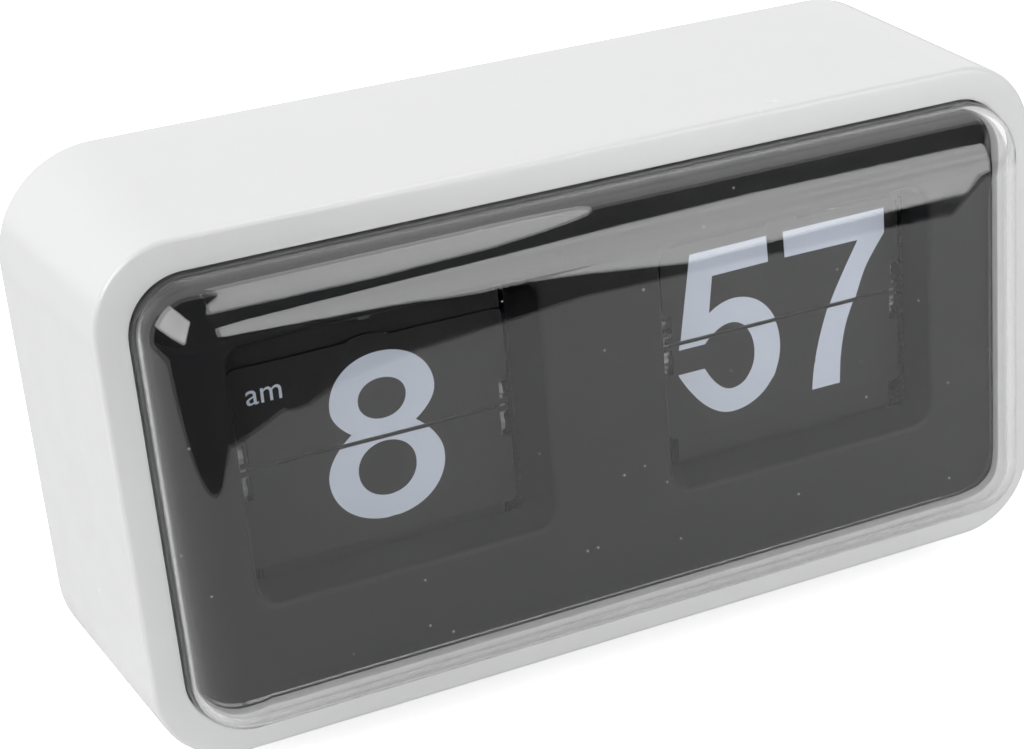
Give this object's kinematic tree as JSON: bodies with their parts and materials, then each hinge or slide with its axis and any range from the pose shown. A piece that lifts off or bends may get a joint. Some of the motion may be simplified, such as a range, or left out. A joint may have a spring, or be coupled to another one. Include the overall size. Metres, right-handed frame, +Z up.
{
  "type": "table clock",
  "caption": "White table clock with falling leaves behind a domed clear lens: an hour leaf unit on the left and a minute leaf unit on the right.",
  "frame": {"origin": "centre of the bounding box at floor level", "axes": "+Z up, -Y the way the clock faces, +X to the right as seen from its front"},
  "size_m": [0.2098, 0.0742, 0.1158],
  "materials": {
    "white_shell": "smooth white moulded plastic",
    "clear_lens": "clear polished plastic",
    "black_plastic": "fine matt black",
    "leaf_black": "thin dark grey printed sheet",
    "dark_plastic": "dark grey moulded plastic",
    "pale_plastic": "pale grey moulded plastic",
    "steel": "plain sheet and drawn steel",
    "brass": "plain turned brass",
    "nylon": "ivory gear plastic",
    "rubber": "matt black rubber"
  },
  "bodies": {
    "case": {"housing": "white_shell", "front_lens": "clear_lens", "face_plate": "black_plastic", "rear_cover": "black_plastic", "battery_tray": "black_plastic", "battery": "steel", "contact_plate": "steel", "spring_plate": "steel", "contact_spring": "steel", "chassis_floor": "steel", "top_bar": "steel", "left_plate": "steel", "right_plate": "steel", "inner_left_plate": "steel", "inner_right_plate": "steel", "hour_catch": "steel", "minute_catch": "steel", "motor_case": "steel", "motor_post_front": "steel", "motor_post_rear": "steel", "hour_leaf_next": "leaf_black", "hour_leaf_lower": "leaf_black", "hour_leaf_pack": "leaf_black", "minute_leaf_next": "leaf_black", "minute_leaf_lower": "leaf_black", "minute_leaf_pack": "leaf_black", "foot_front_left": "rubber", "foot_front_right": "rubber", "foot_rear_left": "rubber", "foot_rear_right": "rubber", "cover_screw_lower_left": "steel", "cover_screw_lower_right": "steel", "cover_screw_upper_left": "steel", "cover_screw_upper_right": "steel"},
    "minute_drum": {"minute_axle": "steel", "minute_drum_core": "dark_plastic", "minute_disc_left": "pale_plastic", "minute_disc_right": "pale_plastic", "drive_gear": "brass", "minute_pinion": "brass"},
    "hour_drum": {"hour_axle": "steel", "hour_drum_core": "dark_plastic", "hour_disc_left": "pale_plastic", "hour_disc_right": "pale_plastic", "hour_gear": "nylon"},
    "idler": {"idler_axle": "steel", "idler_wheel": "nylon", "idler_pinion": "brass"},
    "motor_rotor": {"motor_shaft": "steel", "motor_pinion": "brass"},
    "time_setter": {"setting_wheel": "dark_plastic", "setting_gear": "nylon", "setting_shaft": "steel"},
    "hour_flap": {"hour_leaf_front": "leaf_black"},
    "minute_flap": {"minute_leaf_front": "leaf_black"},
    "door": {"battery_door": "black_plastic"}
  },
  "joints": [
    {"name": "minute_drum_turn", "type": "hinge", "parent": "case", "child": "minute_drum", "pos_m": [0.0462, 0.00585, 0.0621], "axis": [1, 0, 0], "continuous": true},
    {"name": "hour_drum_turn", "type": "hinge", "parent": "case", "child": "hour_drum", "pos_m": [-0.0462, 0.00585, 0.0584], "axis": [1, 0, 0], "continuous": true},
    {"name": "idler_turn", "type": "hinge", "parent": "case", "child": "idler", "pos_m": [0, 0.01361, 0.04487], "axis": [1, 0, 0], "continuous": true},
    {"name": "motor_turn", "type": "hinge", "parent": "case", "child": "motor_rotor", "pos_m": [0.08, 0.00585, 0.0441], "axis": [1, 0, 0], "continuous": true},
    {"name": "setting_turn", "type": "hinge", "parent": "case", "child": "time_setter", "pos_m": [0.08, 0.02414, 0.0752], "axis": [1, 0, 0], "continuous": true},
    {"name": "hour_leaf_fall", "type": "hinge", "parent": "case", "child": "hour_flap", "pos_m": [-0.0462, -0.01165, 0.0584], "axis": [1, 0, 0], "range_deg": [0, 180]},
    {"name": "minute_leaf_fall", "type": "hinge", "parent": "case", "child": "minute_flap", "pos_m": [0.0462, -0.01165, 0.0621], "axis": [1, 0, 0], "range_deg": [0, 180]},
    {"name": "battery_door_slide", "type": "slide", "parent": "case", "child": "door", "axis": [0, 1, 0], "range_m": [0, 0.02]}
  ],
  "couplings": [
    {"joint": "hour_drum_turn", "follows": "minute_drum_turn", "ratio": 0.041667},
    {"joint": "idler_turn", "follows": "minute_drum_turn", "ratio": -0.16667},
    {"joint": "motor_turn", "follows": "minute_drum_turn", "ratio": -5},
    {"joint": "setting_turn", "follows": "minute_drum_turn", "ratio": -2}
  ]
}
